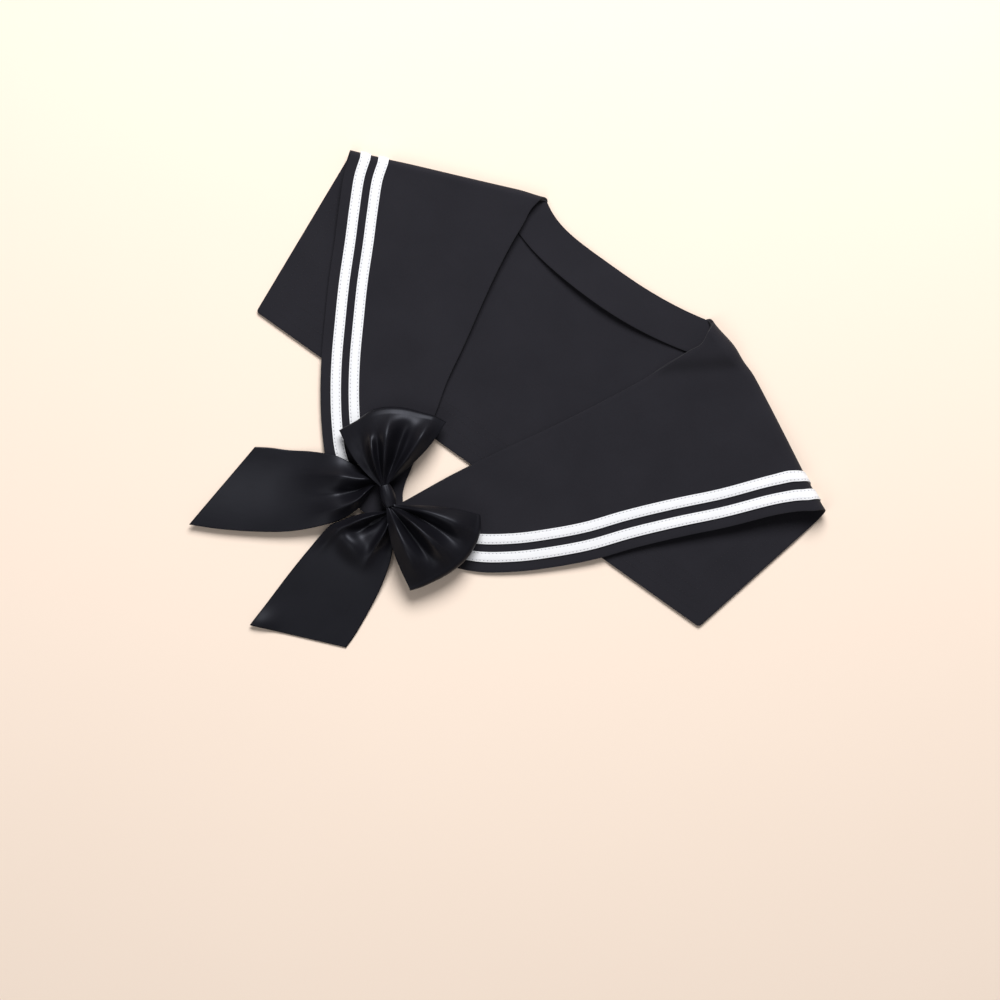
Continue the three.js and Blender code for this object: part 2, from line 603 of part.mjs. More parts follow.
const bow = new THREE.Group();
bow.position.set(knotAcross, knotAlong, 0);
bow.rotation.z = bowTurn;
const claspBox = new THREE.BoxGeometry(claspLength, claspWidth, claspThickness);
const clasp = piece("clasp_bar", claspBox, paintedMetal);
clasp.position.z = tipStack + gap + claspThickness / 2;
bow.add(
  piece("bow_loops", sheetSolid(loopsGrid(), satinThickness, true), blackSatin),
  piece("bow_tails", sheetSolid(tailsGrid(), satinThickness), blackSatin),
  piece("knot_band", sheetSolid(knotGrid(), satinThickness, true), blackSatin),
  clasp,
);
collar.add(bow);

// The origin is the middle of the whole thing's outline, on the table.
collar.updateMatrixWorld(true);
const extent = new THREE.Box3().setFromObject(collar, true);
const middle = extent.getCenter(point(0, 0));
collar.position.set(-middle.x, -middle.y, -extent.min.z);

export default collar;
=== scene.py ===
import math

import bmesh
import bpy
from mathutils import Matrix, Vector, noise


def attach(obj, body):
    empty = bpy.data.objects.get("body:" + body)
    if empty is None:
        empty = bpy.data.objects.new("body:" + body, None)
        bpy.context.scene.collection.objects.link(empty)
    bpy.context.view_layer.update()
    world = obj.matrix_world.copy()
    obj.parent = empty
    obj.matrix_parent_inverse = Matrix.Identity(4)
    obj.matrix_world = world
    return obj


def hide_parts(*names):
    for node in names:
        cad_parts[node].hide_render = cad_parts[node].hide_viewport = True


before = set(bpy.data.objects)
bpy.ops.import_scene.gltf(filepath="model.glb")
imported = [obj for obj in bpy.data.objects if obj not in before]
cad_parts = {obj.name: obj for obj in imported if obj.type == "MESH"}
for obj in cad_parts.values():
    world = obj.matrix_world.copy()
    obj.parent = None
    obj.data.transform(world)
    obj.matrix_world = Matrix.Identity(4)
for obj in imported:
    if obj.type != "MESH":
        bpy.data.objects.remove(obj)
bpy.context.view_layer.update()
print("frame loaded")


# Small helpers

def lerp(a, b, t):
    return a + (b - a) * t


def clamp(value, low=0.0, high=1.0):
    return max(low, min(high, value))


def smoothStep(value, low, high):
    t = clamp((value - low) / (high - low))
    return t * t * (3 - 2 * t)


def valueAt(rows, share, column):  # on a smooth curve through a table's rows
    place = share * (len(rows) - 1)
    start = int(clamp(math.floor(place), 0, len(rows) - 2))
    t = place - start
    a, b, c, d = (rows[int(clamp(i, 0, len(rows) - 1))][column] for i in range(start - 1, start + 3))
    return b + 0.5 * t * (c - a + t * (2 * a - 5 * b + 4 * c - d + t * (3 * (b - c) + d - a)))


def rowAt(rows, share):
    return [valueAt(rows, share, column) for column in range(len(rows[0]))]


def normalsOf(points, ring=False):
    rows = len(points)
    made = []
    for i, row in enumerate(points):
        after = points[(i + 1) % rows if ring else min(i + 1, rows - 1)]
        before = points[(i - 1) % rows if ring else max(i - 1, 0)]
        last = len(row) - 1
        made.append([
            (after[j] - before[j]).cross(row[min(j + 1, last)] - row[max(j - 1, 0)]).normalized()
            for j in range(last + 1)
        ])
    return made


def lengthAlong(points, ring=False):
    middle = len(points[0]) // 2
    along = [0.0]
    for i in range(len(points) if ring else len(points) - 1):
        along.append(along[-1] + (points[(i + 1) % len(points)][middle] - points[i][middle]).length)
    return along


# A grid of points becomes one sheet of cloth. Its UV map is in metres, along the sheet and across it.
def clothSheet(name, points, thickness, rim, ring=False, uvWidth=None):
    rows, columns = len(points), len(points[0])
    runs = rows if ring else rows - 1
    along = lengthAlong(points, ring)
    across = []
    for row in points:
        line = [0.0]
        for j in range(columns - 1):
            line.append(line[-1] + (row[j + 1] - row[j]).length)
        if uvWidth:
            line = [uvWidth * value / line[-1] for value in line]
        across.append(line)
    bm = bmesh.new()
    bmesh.ops.create_grid(bm, x_segments=runs, y_segments=columns - 1, size=0.5)
    uv = bm.loops.layers.uv.new("cloth")
    place = {v: (round((v.co.x + 0.5) * runs), round((v.co.y + 0.5) * (columns - 1))) for v in bm.verts}
    for face in bm.faces:
        for loop in face.loops:
            i, j = place[loop.vert]
            loop[uv].uv = (along[i], across[i % rows][j])
    for v, (i, j) in place.items():
        v.co = points[i % rows][j]
    if ring:
        bmesh.ops.remove_doubles(bm, verts=bm.verts, dist=1e-7)
    piece = pieceFrom(bm, name)
    wall = piece.modifiers.new("wall", "SOLIDIFY")
    wall.thickness = thickness
    wall.offset = 0
    wall.use_even_offset = True
    wall.thickness_clamp = 0
    if rim:
        edge = piece.modifiers.new("turned edge", "BEVEL")
        edge.width = rim
        edge.segments = 2
        edge.limit_method = "ANGLE"
        edge.angle_limit = math.radians(50)
    return piece


def pieceFrom(bm, name, smooth=True):
    mesh = bpy.data.meshes.new(name)
    bm.to_mesh(mesh)
    bm.free()
    for face in mesh.polygons:
        face.use_smooth = smooth
    piece = bpy.data.objects.new(name, mesh)
    bpy.context.scene.collection.objects.link(piece)
    return piece


# The collar cloth: one sheet from the left tip round the back to the right tip.
# Lengths in metres. Lapel rows run from the shoulder fold to the tip: the hem's place out and down, the
# neck edge's place out and down, and the height at the hem, the middle and the neck edge. Foot rows are
# the same two places where each fold turns onto the back flap.
collar = {
    "thickness": 0.0012,
    "backWidth": 0.391,
    "backDepth": 0.186,
    "neckWidth": 0.146,
    "neckDip": 0.0106,
    "frontDrop": 0.240,
    "reach": {"left": 0.2039, "right": 0.21896},
    "foldHeight": {"left": 0.0105, "right": 0.016},
    "foldBow": {"left": 0.0, "right": 0.007},
    "foldBowPeak": 0.7,  # share of the fold's length from the hem
    "foldBowFade": 0.316,  # share of the lapel over which the bow dies away
    "valleyFrom": (1.6, -0.062),  # of half the neck's width and of the front drop
    "valleyTo": (0.79, -0.262),
    "valleyRise": 0.0062,
    "valleyWidth": 0.032,
    "hemMargin": 0.0074,
    "tapeSpacing": 0.0056,
    "tapesAtMost": 0.82,  # share of a section that the tapes may take, near the tips
    "tapeSlope": 0.26,  # share of the flap over which it comes down from its tapes
    "miterReach": 0.026,  # share of a lapel on both sides, for its hem's direction
    "lapelSections": 64,
    "foldSections": 14,
    "sideSections": 20,
    "hemSections": 80,
    "cornerRadius": 0.0022,
    "cornerSwell": 0.001,  # of the fold's round corner at the neck, and how many columns it takes
    "cornerColumns": 6,
    "bodySteps": 34,
    "onPhoto": Vector((-0.0067847, 0.1856673, 0)),  # from the middle of the neck line to the origin
    "leftLapel": [
        (1.007, 0.231, 1.041, 0.015, 1.0, 0.84, 0.78),
        (0.984, 0.29, 1.055, 0.05, 0.86, 0.78, 0.78),
        (0.934, 0.375, 1.034, 0.1, 0.68, 0.68, 0.75),
        (0.879, 0.463, 1.012, 0.175, 0.54, 0.57, 0.7),
        (0.814, 0.571, 0.966, 0.271, 0.45, 0.48, 0.64),
        (0.745, 0.675, 0.895, 0.383, 0.41, 0.42, 0.58),
        (0.673, 0.779, 0.815, 0.5, 0.38, 0.4, 0.53),
        (0.6, 0.871, 0.747, 0.613, 0.32, 0.38, 0.49),
        (0.527, 0.95, 0.653, 0.717, 0.29, 0.34, 0.45),
        (0.462, 1.008, 0.586, 0.808, 0.27, 0.3, 0.38),
        (0.385, 1.05, 0.534, 0.892, 0.27, 0.28, 0.31),
        (0.27, 1.075, 0.473, 0.958, 0.27, 0.27, 0.28),
        (0.137, 1.079, 0.356, 1.004, 0.27, 0.27, 0.27),
    ],
    "rightLapel": [
        (0.976, 0.293, 1.062, 0.042, 1.0, 0.6, 0.52),
        (0.933, 0.323, 1.076, 0.082, 0.94, 0.57, 0.5),
        (0.875, 0.376, 1.018, 0.121, 0.8, 0.52, 0.48),
        (0.78, 0.479, 0.911, 0.2, 0.6, 0.44, 0.43),
        (0.673, 0.585, 0.767, 0.3, 0.45, 0.36, 0.38),
        (0.571, 0.692, 0.596, 0.404, 0.34, 0.29, 0.33),
        (0.484, 0.792, 0.397, 0.519, 0.27, 0.28, 0.33),
        (0.393, 0.879, 0.192, 0.629, 0.2, 0.25, 0.3),
        (0.301, 0.956, -0.021, 0.744, 0.14, 0.17, 0.23),
        (0.196, 1.025, -0.185, 0.838, 0.09, 0.11, 0.16),
        (0.087, 1.065, -0.315, 0.921, 0.04, 0.05, 0.07),
        (-0.027, 1.075, -0.425, 0.99, 0.01, 0.01, 0.02),
        (-0.16, 1.067, -0.53, 1.033, 0, 0, 0),
    ],
    "foldFoot": {
        "left": (1.009, 0.248, 0.967, 0.002),
        "right": (1.007, 0.309, 0.975, 0.0125),
    },
    "neckBend": {"left": 4.5, "right": 2.2},
}
tape = {
    "thickness": 0.0009,
    "width": 0.0074,
    "lift": 0.00005,
    "crown": 0.00012,
    "bare": {"left": 4 / 19, "right": 2 / 19},  # share of each lapel, at its tip, without tape
    "steps": 4,
}
gap = 0.0003  # air between pieces that are sewn or lie on each other

tableLevel = collar["thickness"] / 2
hemLevel = tableLevel + tape["thickness"] + tape["lift"]
halfNeck = collar["neckWidth"] / 2
tapeEdges = [
    collar["hemMargin"],
    collar["hemMargin"] + tape["width"],
    collar["hemMargin"] + tape["width"] + collar["tapeSpacing"],
    collar["hemMargin"] + 2 * tape["width"] + collar["tapeSpacing"],
]
marginSteps, spacingSteps = 3, 2
tapeColumns = {"outer": marginSteps, "inner": marginSteps + tape["steps"] + spacingSteps}


def stopsAcross():
    stops = [0.0]
    for start, end, steps in (
        (0, tapeEdges[0], marginSteps),
        (tapeEdges[0], tapeEdges[1], tape["steps"]),
        (tapeEdges[1], tapeEdges[2], spacingSteps),
        (tapeEdges[2], tapeEdges[3], tape["steps"]),
    ):
        stops += [lerp(start, end, (k + 1) / steps) for k in range(steps)]
    return stops


hemStops = stopsAcross()
tapesEnd = len(hemStops) - 1  # the column where the plain body of the cloth begins


def lapelEdges(row, side):
    sign = -1 if side == "left" else 1
    hem = Vector((sign * row[0] * collar["reach"][side], -row[1] * collar["frontDrop"], 0))
    neck = Vector((sign * row[2] * halfNeck, -row[3] * collar["frontDrop"], 0))
    return hem, neck


def bowOut(side, share, fade):
    peak = collar["foldBowPeak"]
    rise = share / peak if share < peak else (1 - share) / (1 - peak)
    return collar["foldBow"][side] * lerp(rise, smoothStep(rise, 0, 1), 0.5) * fade


def sectionPoints(hem, neck, miter, level, side, fade):
    run = neck - hem
    length = run.length
    outwards = Vector((-run.y, run.x, 0)) * math.copysign(1 / length, run.x)
    fit = min(1, collar["tapesAtMost"] * length / (tapeEdges[3] * miter))
    steps = [stop * miter * fit for stop in hemStops]
    start = steps[-1]
    steps += [lerp(start, length, (k + 1) / collar["bodySteps"]) for k in range(collar["bodySteps"])]
    made = []
    for step in steps:
        share = step / length
        p = hem + run * share + outwards * bowOut(side, share, fade)
        p.z = level(share, p)
        made.append(p)
    return made


def miterBetween(direction, hemDirection):
    return 1 / max(0.5, direction.cross(hemDirection).length)


def flapLevel(column):  # the hem of the flap lies on the tapes that are sewn under it
    body = clamp((column - tapesEnd) / collar["bodySteps"])
    return lerp(tableLevel, hemLevel, clamp(1 - body / collar["tapeSlope"]) ** 2)


def onCollar(place):
    return Vector((place[0] * halfNeck, place[1] * collar["frontDrop"], 0))


valleyStart = onCollar(collar["valleyFrom"])
valleyEnd = onCollar(collar["valleyTo"])


def valleyLift(p):  # the right lapel's neck edge stands up beside a valley
    run = (valleyEnd - valleyStart).normalized()
    distance = (p.x - valleyStart.x) * run.y - (p.y - valleyStart.y) * run.x
    share = clamp(distance / collar["valleyWidth"], 0, 1.2)
    along = (p - valleyStart).dot(run) / (valleyEnd - valleyStart).length
    steep = smoothStep(share, 0, 0.36) * (1 - smoothStep(along, 0.75, 1.25))
    return collar["valleyRise"] * lerp(share * smoothStep(share, -0.1, 0.5), steep, 0.55)


def lapelLevel(row, side):
    def level(share, p):  # a smooth line through the heights at the hem, the middle and the neck edge
        hemPart = (1 - share) * (1 - 2 * share)
        midPart = 4 * share * (1 - share)
        neckPart = share * (2 * share - 1)
        lift = row[4] * hemPart + row[5] * midPart + row[6] * neckPart
        base = tableLevel + lift * collar["foldHeight"][side]
        return base + valleyLift(p) if side == "right" else base
    return level


def lapelSectionsOf(side):
    rows = collar[side + "Lapel"]
    count = collar["lapelSections"]
    made = []
    for i in range(count):
        share = i / (count - 1)
        row = rowAt(rows, share)
        hem, neck = lapelEdges(row, side)
        before = lapelEdges(rowAt(rows, max(0, share - collar["miterReach"])), side)[0]
        after = lapelEdges(rowAt(rows, min(1, share + collar["miterReach"])), side)[0]
        miter = miterBetween((neck - hem).normalized(), (after - before).normalized())
        fade = 1 - smoothStep(share / collar["foldBowFade"], 0, 1)
        made.append(sectionPoints(hem, neck, miter, lapelLevel(row, side), side, fade))
    return made


def backNeck(share):
    side = "left" if share < 0 else "right"
    foot = collar["foldFoot"][side]
    bend = abs(share) ** collar["neckBend"][side]
    return Vector((
        share * foot[2] * halfNeck,
        -lerp(collar["neckDip"], foot[3] * collar["frontDrop"], bend),
        0,
    ))


cornerShare = 0.84  # of half the neck line, where a flap corner's section ends


# Each section of the flap runs through the lines that are parallel to its hem, then on to the neck line.
def flapSectionsOf():
    corner = {
        "left": Vector((-collar["backWidth"] / 2, -collar["backDepth"], 0)),
        "right": Vector((collar["backWidth"] / 2, -collar["backDepth"], 0)),
    }
    foot = {side: lapelEdges(collar["foldFoot"][side], side)[0] for side in corner}
    inset = {}
    footLine = {}
    for side, sign in (("left", -1), ("right", 1)):
        up = (foot[side] - corner[side]).normalized()
        bisector = (up + Vector((-sign, 0, 0))).normalized()
        inset[side] = bisector * miterBetween(bisector, Vector((-sign, 0, 0)))
        neck = backNeck(sign)
        run = (neck - foot[side]).normalized()
        footLine[side] = run * miterBetween(run, up)

    def rounded(start, towards, inwards, run):  # a hem point near the corner moves onto its arc
        radius = collar["cornerRadius"]
        if run >= radius:
            return start + towards * run
        angle = math.radians(-135 + 45 * run / radius)
        start = start + towards * radius * (1 + math.cos(angle))
        return start + inwards * radius * (1 + math.sin(angle))

    def section(lineAt, hem, neck, side, fade):
        made = [hem] + [lineAt(stop) for stop in hemStops[1:]]
        made += [made[-1].lerp(neck, (k + 1) / collar["bodySteps"]) for k in range(collar["bodySteps"])]
        run = neck - made[0]
        outwards = Vector((-run.y, run.x, 0)) * math.copysign(1 / run.length, run.x)
        for j, p in enumerate(made):
            if fade:
                p += outwards * bowOut(side, (p - made[0]).length / run.length if j else 0, fade)
            p.z = flapLevel(j)
        return made

    def sideSections(side, sign):
        made = []
        up = foot[side] - corner[side]
        towards = up.normalized()
        inwards = Vector((-sign, 0, 0))
        for i in range(collar["sideSections"]):
            share = math.sin(math.pi / 2 * i / collar["sideSections"])

            def lineAt(d):
                return (foot[side] + footLine[side] * d).lerp(corner[side] + inset[side] * d, share)

            hem = rounded(corner[side], towards, inwards, up.length * (1 - share))
            neck = backNeck(sign * lerp(1, cornerShare, share))
            made.append(section(lineAt, hem, neck, side, 1 - share))
        return made

    hemSections = []
    for i in range(collar["hemSections"] + 1):
        share = 0.5 - 0.5 * math.cos(math.pi * i / collar["hemSections"])

        def lineAt(d):
            left = corner["left"] + inset["left"] * d
            return left.lerp(corner["right"] + inset["right"] * d, share)

        sign = 1 if share < 0.5 else -1
        start = corner["left" if share < 0.5 else "right"]
        run = min(share, 1 - share) * collar["backWidth"]
        hem = rounded(start, Vector((sign, 0, 0)), Vector((0, 1, 0)), run)
        neck = backNeck(lerp(-cornerShare, cornerShare, share))
        hemSections.append(section(lineAt, hem, neck, "left", 0))
    return sideSections("left", -1) + hemSections + sideSections("right", 1)[::-1]


def foldSectionsOf(below, above, side):
    run = below[-1] - below[0]
    run = Vector((run.x, run.y, 0)).normalized()
    outwards = Vector((-run.y, run.x, 0)) if side == "left" else Vector((run.y, -run.x, 0))
    outwards *= math.copysign(1, outwards.y)
    last = len(below) - 1
    made = []
    for k in range(1, collar["foldSections"]):
        share = k / collar["foldSections"]
        angle = math.pi * share
        line = []
        for j, (low, high) in enumerate(zip(below, above)):
            radius = (high.z - low.z) / 2
            p = low.lerp(high, share)
            p.z = (low.z + high.z) / 2 - radius * math.cos(angle)
            end = smoothStep(j, last - collar["cornerColumns"], last)
            p += run * collar["cornerSwell"] * end * max(0, math.sin(2 * angle))
            line.append(p + outwards * radius * math.sin(angle) * lerp(1, 0.7, end))
        made.append(line)
    return made


leftSections = lapelSectionsOf("left")
rightSections = lapelSectionsOf("right")
backSections = flapSectionsOf()
collarPoints = (
    leftSections[::-1]
    + foldSectionsOf(backSections[0], leftSections[0], "left")[::-1]
    + backSections
    + foldSectionsOf(backSections[-1], rightSections[0], "right")
    + rightSections
)
firstBack = collar["lapelSections"] + collar["foldSections"] - 1


# The lapels aren't quite flat: they ease in low waves, which die away where they lie on something.
ease = {"clear": 0.0035, "over": 0.006, "wave": 0.0009, "ripple": 0.0003, "waves": 28, "ripples": 75}


def easeLapels(points):
    for i, row in enumerate(points):
        if firstBack <= i < firstBack + len(backSections):
            continue
        for p in row:
            free = clamp((p.z - ease["clear"]) / ease["over"])
            wave = noise.noise(Vector((p.x * ease["waves"], p.y * ease["waves"], 7.0)))
            ripple = noise.noise(Vector((p.x * ease["ripples"], p.y * ease["ripples"], 11.0)))
            p.z += ease["wave"] * free * wave + ease["ripple"] * free * ripple


easeLapels(collarPoints)
for row in collarPoints:
    for p in row:
        p += collar["onPhoto"]
collarNormals = normalsOf(collarPoints)  # they point to the inner side
collarCloth = clothSheet("collarCloth", collarPoints, collar["thickness"], 0.0004)
print("collar cloth made")


# The two tapes, each along its own columns of the collar's grid
tapeRows = {
    "first": round(tape["bare"]["left"] * (collar["lapelSections"] - 1)),
    "last": len(collarPoints) - round(tape["bare"]["right"] * (collar["lapelSections"] - 1)),
}


def tapePoints(name):
    start = tapeColumns[name]
    made = []
    for i in range(tapeRows["first"], tapeRows["last"]):
        line = []
        for k in range(tape["steps"] + 1):
            crown = tape["crown"] * (1 - (2 * k / tape["steps"] - 1) ** 2)
            distance = collar["thickness"] / 2 + tape["lift"] + tape["thickness"] / 2 + crown
            line.append(collarPoints[i][start + k] - collarNormals[i][start + k] * distance)
        made.append(line)
    return made


outerPoints = tapePoints("outer")
innerPoints = tapePoints("inner")
outerTape = clothSheet("outerTape", outerPoints, tape["thickness"], 0.00025, uvWidth=tape["width"])
innerTape = clothSheet("innerTape", innerPoints, tape["thickness"], 0.00025, uvWidth=tape["width"])
print("tapes made")


# Stitches: short threads along both edges of each tape, and their other side on the flap
stitch = {"pitch": 0.0027, "length": 0.0019, "radius": 0.0002, "inset": 0.0011, "lift": 0.00002}
oneStitch = bpy.data.meshes.new("one stitch")


def stitchLine(bm, line, normals, along):  # by the sheet's own measure, as its needle holes are
    due = stitch["pitch"] * math.ceil(along[0] / stitch["pitch"] + 0.5) - stitch["pitch"] / 2
    for a, b, n, start, end in zip(line, line[1:], normals, along, along[1:]):
        direction = (b - a).normalized()
        side = direction.cross(n).normalized()
        turn = Matrix((direction, side, side.cross(direction))).transposed().to_4x4()
        size = Matrix.Diagonal((stitch["length"] / 2, stitch["radius"], stitch["radius"], 1))
        while due <= end:
            place = a.lerp(b, (due - start) / (end - start))
            one = bmesh.new()
            bmesh.ops.create_uvsphere(
                one, u_segments=6, v_segments=5, radius=1, matrix=Matrix.Translation(place) @ turn @ size
            )
            one.to_mesh(oneStitch)
            one.free()
            bm.from_mesh(oneStitch)
            due += stitch["pitch"]


def stitchesOn(name, points, thickness, inward):
    normals = normalsOf(points)
    along = lengthAlong(points)
    bm = bmesh.new()
    for first, second in ((0, 1), (-1, -2)):
        line, ups = [], []
        for row, rowNormals in zip(points, normals):
            share = stitch["inset"] / (row[second] - row[first]).length
            n = rowNormals[first] * (1 if inward else -1)
            line.append(row[first].lerp(row[second], share) + n * (thickness / 2 + stitch["lift"]))
            ups.append(n)
        stitchLine(bm, line, ups, along)
    return pieceFrom(bm, name)


outerStitches = stitchesOn("outerStitches", outerPoints, tape["thickness"], False)
innerStitches = stitchesOn("innerStitches", innerPoints, tape["thickness"], False)


def bobbinStitches(name, column):
    rows = range(firstBack, firstBack + len(backSections))
    points = [[collarPoints[i][column + k] for k in range(tape["steps"] + 1)] for i in rows]
    return stitchesOn(name, points, collar["thickness"], True)


outerBobbin = bobbinStitches("outerBobbinThread", tapeColumns["outer"])
innerBobbin = bobbinStitches("innerBobbinThread", tapeColumns["inner"])
print("stitches made")


# The neck band, on the collar's inner side
band = {
    "thickness": 0.0011,
    "width": 0.029,
    "lift": 0.0042,  # of its free edge in the middle of the back
    "slack": 0.0005,
    "reach": 0.53,  # share of each lapel that it runs along
    "steps": 12,
}


def alongSection(i, distance):
    row = collarPoints[i]
    left = distance
    for j in range(len(row) - 1, 0, -1):
        length = (row[j] - row[j - 1]).length
        if left <= length or j == 1:
            share = min(1, left / length)
            normal = collarNormals[i][j].lerp(collarNormals[i][j - 1], share).normalized()
            return row[j].lerp(row[j - 1], share), normal
        left -= length


def bandPoints():
    reach = round(band["reach"] * (collar["lapelSections"] - 1))
    first = collar["lapelSections"] - 1 - reach
    last = len(collarPoints) - collar["lapelSections"] + reach
    hemFirst = firstBack + collar["sideSections"]
    made = []
    for i in range(first, last + 1):
        turn = clamp((i - hemFirst) / collar["hemSections"])
        onBack = 1 - abs(math.cos(math.pi * turn))
        line = []
        for k in range(band["steps"] + 1):
            share = k / band["steps"]
            place, normal = alongSection(i, share * band["width"])
            lift = band["slack"] * min(1, 3 * share) + band["lift"] * smoothStep(onBack, 0, 1) * share
            line.append(place + normal * (collar["thickness"] + gap + lift))
        made.append(line)
    return made


neckBand = clothSheet("neckBand", bandPoints(), band["thickness"], 0.0004)
print("neck band made")


# The bow, in its own frame with X to its right-hand loop.
# Rims are a fan round the knot: degrees, reach and open height. Tail rows run from the knot to the cut
# end: outer edge X and Y, inner edge X and Y, height. Creases are ridges, or valleys where negative:
# place across the ribbon at the knot and at the far end, height in metres, half width and reach.
bow = {
    "turn": math.radians(-38),
    "place": Vector((-0.0415, -0.996 * collar["frontDrop"], 0)),
    "satin": 0.0006,
    "claspThickness": 0.002,
    "knotHeight": 0.0094,
    "knotGirth": 0.0082,
    "knotLength": 0.016,
    "knotWall": 0.0008,
    "knotRim": 0.0003,
    "knotSwell": (1.04, 1.2),  # in its middle, and how much less at its ends
    "knotCreases": (0.00012, 0.00007),
    "loopLength": {"left": 0.066, "right": 0.071},
    "loopFold": 0.0084,
    "loopRise": 0.0085,
    "loopEdgeRise": 0.25,
    "loopBelly": {"low": 0.0035, "high": 0.0066},
    "loopStart": 0.12,  # share of a loop's length that the knot hides
    "loopLowering": 0.0012,  # of the lower layer, out to the rim
    "loopGap": 0.0016,  # least room between a loop's layers
    "lowLayerFolds": 0.1,  # share of the creases that the lower layer keeps
    "creaseRoom": (0.006, 0.022),  # widths of ribbon from which creases grow and where they are whole
    "creaseFade": 0.55,  # share of its reach from which a crease dies away
    "tailLength": 0.140,
    "tailPuff": 0.0018,
    "tailLift": 0.0044,
    "tailRoom": 0.003,  # least height over the lapel tips, as long as a tail is above them
    "tailLeavesTips": (0.3, 0.56),
    "ribbonWidth": 0.072,
    "rims": {
        "left": [
            (-20, 0.88, 0.3),
            (-6, 0.88, 0.75),
            (8, 0.95, 1.0),
            (24, 0.97, 1.0),
            (40, 0.98, 0.75),
            (55, 1.02, 0.3),
        ],
        "right": [
            (-3, 0.98, 0.3),
            (10, 0.98, 0.75),
            (23, 1.0, 1.0),
            (36, 1.02, 1.0),
            (49, 1.0, 0.75),
            (62, 0.95, 0.3),
        ],
    },
    "tails": {
        "left": [
            (0.062, 0.021, 0.062, -0.021, 1.0),
            (0.104, -0.01, 0.064, -0.055, 1.0),
            (0.145, -0.06, 0.03, -0.1, 0.97),
            (0.19, -0.108, -0.018, -0.165, 0.95),
            (0.24, -0.157, -0.044, -0.245, 0.9),
            (0.28, -0.207, -0.051, -0.345, 0.82),
            (0.33, -0.31, -0.035, -0.515, 0.4),
            (0.37, -0.42, 0.01, -0.682, 0.13),
            (0.41, -0.51, 0.078, -0.866, 0.06),
            (0.436, -0.584, 0.149, -1.02, 0.04),
        ],
        "right": [
            (0.062, 0.021, 0.062, -0.021, 1.0),
            (0.112, 0.006, 0.07, -0.052, 1.0),
            (0.17, -0.014, 0.058, -0.108, 0.97),
            (0.23, -0.035, 0.05, -0.175, 0.95),
            (0.28, -0.058, 0.053, -0.25, 0.9),
            (0.335, -0.088, 0.066, -0.335, 0.82),
            (0.437, -0.164, 0.146, -0.465, 0.4),
            (0.54, -0.262, 0.243, -0.607, 0.13),
            (0.635, -0.362, 0.35, -0.752, 0.06),
            (0.686, -0.428, 0.435, -0.869, 0.04),
        ],
    },
    "creases": {
        "leftLoop": [
            (0.29, 0.34, 0.0056, 0.035, 0.80),
            (0.49, 0.54, 0.0064, 0.075, 1.05),
            (0.83, 0.88, 0.0074, 0.060, 1.15),
            (0.72, 0.75, 0.0034, 0.030, 0.85),
            (0.40, 0.42, -0.0052, 0.055, 0.80),
            (0.66, 0.66, -0.0100, 0.100, 0.98),
            (0.16, 0.20, -0.0046, 0.090, 1.00),
        ],
        "rightLoop": [
            (0.24, 0.12, 0.0056, 0.100, 1.10),
            (0.58, 0.44, 0.0066, 0.060, 1.05),
            (0.88, 0.83, 0.0070, 0.120, 1.20),
            (0.56, 0.52, 0.0020, 0.022, 1.05),
            (0.40, 0.33, -0.0066, 0.070, 0.95),
            (0.72, 0.65, -0.0074, 0.070, 1.02),
        ],
        "leftTail": [
            (0.30, 0.30, 0.0074, 0.130, 0.74),
            (0.80, 0.80, 0.0090, 0.110, 0.64),
            (0.56, 0.57, -0.0046, 0.080, 0.68),
        ],
        "rightTail": [
            (0.24, 0.34, 0.0092, 0.050, 0.66),
            (0.80, 0.93, 0.0080, 0.075, 0.72),
            (0.60, 0.74, -0.0050, 0.090, 0.58),
            (0.06, 0.10, -0.0020, 0.090, 0.66),
        ],
    },
    "swells": {  # low rises: place along and across, height, half length, half width and lean
        "leftTail": [(0.50, 0.70, 0.0030, 0.09, 0.40, 0.04)],
        "rightTail": [(0.585, 0.60, 0.0052, 0.050, 0.27, -0.10), (0.98, 0.94, 0.0030, 0.06, 0.16, 0.0)],
    },
}
# Heights in the stack at the knot, up from the lapel tips
tipLevel = tableLevel + collar["leftLapel"][-1][4] * collar["foldHeight"]["left"]
tipStack = tipLevel + gap / 2 + collar["thickness"] / 2
knotFloor = tipStack + gap + bow["claspThickness"] + gap
satinRoom = 0.001  # for each layer of satin
gatherRoom = 0.0009  # for each ribbon's shallow gathers
knotMiddle = knotFloor + satinRoom + bow["knotHeight"] / 2
tailLevel = knotFloor + satinRoom + gap + satinRoom / 2 + gatherRoom
loopLowLevel = tailLevel + satinRoom + gatherRoom + gap + gatherRoom
loopTopLevel = knotFloor + satinRoom + bow["knotHeight"] - gap - satinRoom / 2 - gatherRoom


def inPlace(points):
    turn = Matrix.Rotation(bow["turn"], 4, "Z")
    return [[turn @ p + bow["place"] + collar["onPhoto"] for p in row] for row in points]


def softMax(a, b, reach=0.0012):  # never below either, and smooth where they meet
    near = clamp(0.5 + (a - b) / (2 * reach))
    return lerp(b, a, near) + reach * near * (1 - near)


def creaseLift(kind, across, along, width):
    room = smoothStep(width, *bow["creaseRoom"])
    total = 0.0
    for first, last, height, half, reach in bow["creases"][kind]:
        fade = 1 - smoothStep(along / reach, bow["creaseFade"], 1.0)
        spread = half * lerp(1.5, 1.0, clamp(along / reach))
        away = abs(across - lerp(first, last, along)) / spread
        crest = math.exp(-away ** (1.5 if height > 0 else 2))  # ridges are sharper than valleys
        total += height * fade * crest
    return total * lerp(0.1, 1, room)


